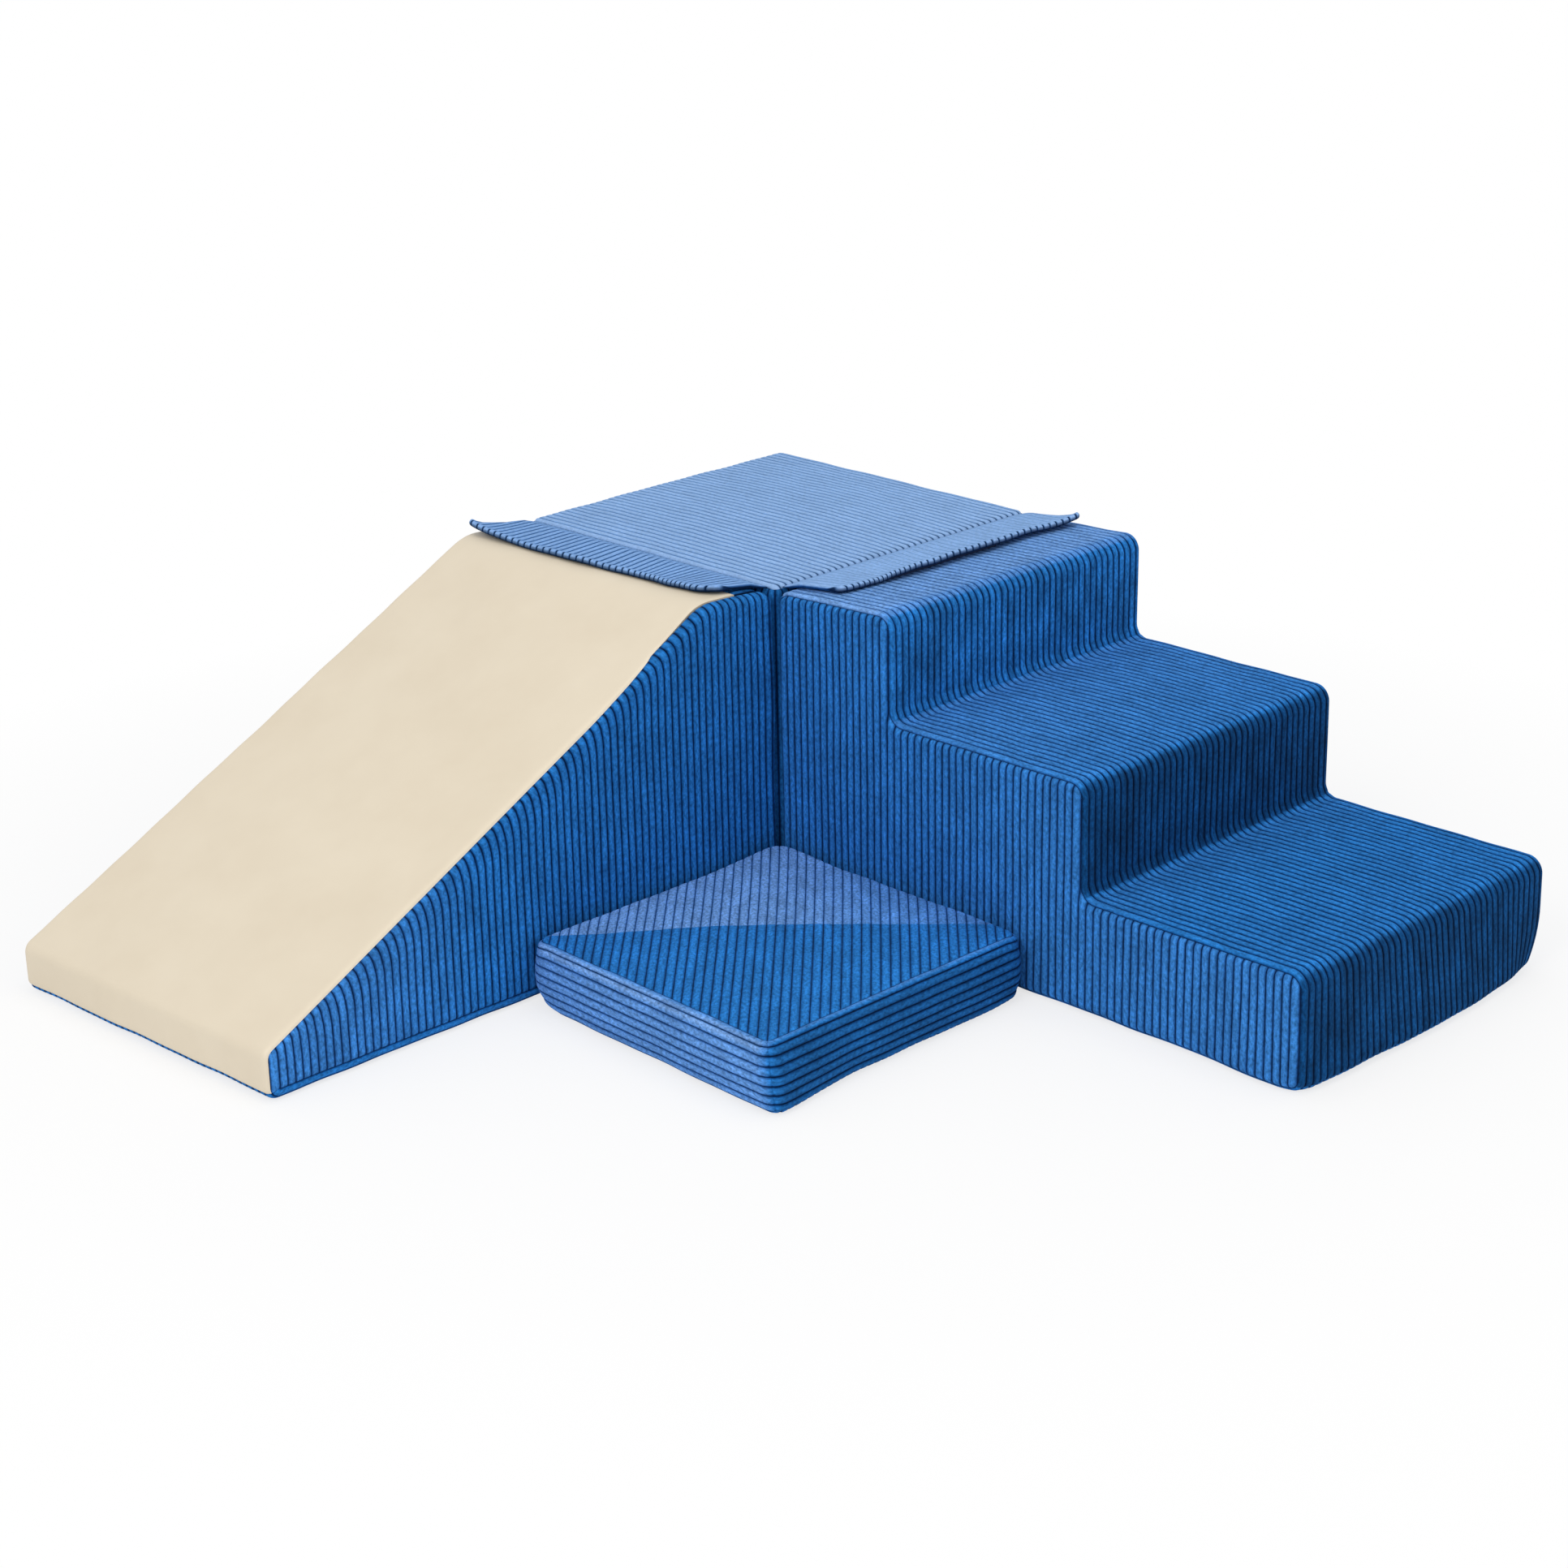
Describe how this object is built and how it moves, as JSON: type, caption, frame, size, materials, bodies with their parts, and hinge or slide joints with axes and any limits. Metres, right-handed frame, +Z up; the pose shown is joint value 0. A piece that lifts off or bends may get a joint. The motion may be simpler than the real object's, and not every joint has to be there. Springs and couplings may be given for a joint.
{
  "type": "soft play foam climber",
  "caption": "Corner climber of soft corduroy-covered foam modules: a square block with cloth flaps, a smooth-faced slide, a stepped stair and a low mat, all standing on the floor.",
  "frame": {"origin": "on the floor, under the middle of the whole set's bounding box", "axes": "+Z up; +X along the steps, away from the block; +Y from the slide's toe towards the block"},
  "size_m": [1.223, 1.213, 0.4146],
  "materials": {
    "corduroy": "blue wide-wale corduroy, matt with a soft pile sheen",
    "sheet": "smooth beige coated sheet, low sheen",
    "foam": "white closed-cell foam",
    "tape": "navy hook and loop tape",
    "zip": "navy nylon coil and tape",
    "zip_metal": "nickel-plated slider"
  },
  "bodies": {
    "corner_block": {"block_foam_core": "foam", "block_top_panel": "corduroy", "block_side_slide": "corduroy", "block_side_steps": "corduroy", "block_side_back": "corduroy", "block_side_left": "corduroy", "block_base_panel": "corduroy", "block_zip_chain": "zip"},
    "slide_module": {"slide_foam_core": "foam", "slide_surface": "sheet", "slide_side_inner": "corduroy", "slide_side_outer": "corduroy", "slide_back_panel": "corduroy", "slide_base_panel": "corduroy", "slide_loop_strip": "tape", "slide_zip_chain": "zip"},
    "steps_module": {"steps_foam_bottom": "foam", "steps_foam_middle": "foam", "steps_foam_top": "foam", "steps_tread_bottom": "corduroy", "steps_tread_middle": "corduroy", "steps_tread_top": "corduroy", "steps_side_inner": "corduroy", "steps_side_outer": "corduroy", "steps_back_panel": "corduroy", "steps_base_panel": "corduroy", "steps_loop_strip": "tape", "steps_zip_chain": "zip"},
    "mat_module": {"mat_foam_core": "foam", "mat_top_panel": "corduroy", "mat_side_band": "corduroy", "mat_base_panel": "corduroy", "mat_zip_chain": "zip"},
    "slide_side_flap": {"slide_flap": "corduroy", "slide_flap_hook_strip": "tape"},
    "steps_side_flap": {"steps_flap": "corduroy", "steps_flap_hook_strip": "tape"},
    "block_zip_pull": {"block_zip_slider": "zip_metal"},
    "slide_zip_pull": {"slide_zip_slider": "zip_metal"},
    "steps_zip_pull": {"steps_zip_slider": "zip_metal"},
    "mat_zip_pull": {"mat_zip_slider": "zip_metal"}
  },
  "joints": [
    {"name": "slide_pull_away", "type": "slide", "parent": "corner_block", "child": "slide_module", "axis": [0, -1, 0], "range_m": [0, 0.3]},
    {"name": "steps_pull_away", "type": "slide", "parent": "corner_block", "child": "steps_module", "axis": [1, 0, 0], "range_m": [0, 0.3]},
    {"name": "mat_pull_out", "type": "slide", "parent": "corner_block", "child": "mat_module", "axis": [0.7071, -0.7071, 0], "range_m": [0, 0.3]},
    {"name": "slide_flap_hinge", "type": "hinge", "parent": "corner_block", "child": "slide_side_flap", "pos_m": [-0.3865, 0.15851, 0.39398], "axis": [-1, 0, 0], "range_deg": [0, 100]},
    {"name": "steps_flap_hinge", "type": "hinge", "parent": "corner_block", "child": "steps_side_flap", "pos_m": [-0.16351, 0.3815, 0.39398], "axis": [0, -1, 0], "range_deg": [0, 100]},
    {"name": "block_zip_travel", "type": "slide", "parent": "corner_block", "child": "block_zip_pull", "axis": [-1, 0, 0], "range_m": [0, 0.335]},
    {"name": "slide_zip_travel", "type": "slide", "parent": "slide_module", "child": "slide_zip_pull", "axis": [1, 0, 0], "range_m": [0, 0.335]},
    {"name": "steps_zip_travel", "type": "slide", "parent": "steps_module", "child": "steps_zip_pull", "axis": [0, 1, 0], "range_m": [0, 0.335]},
    {"name": "mat_zip_travel", "type": "slide", "parent": "mat_module", "child": "mat_zip_pull", "axis": [0, 1, 0], "range_m": [0, 0.283]}
  ]
}
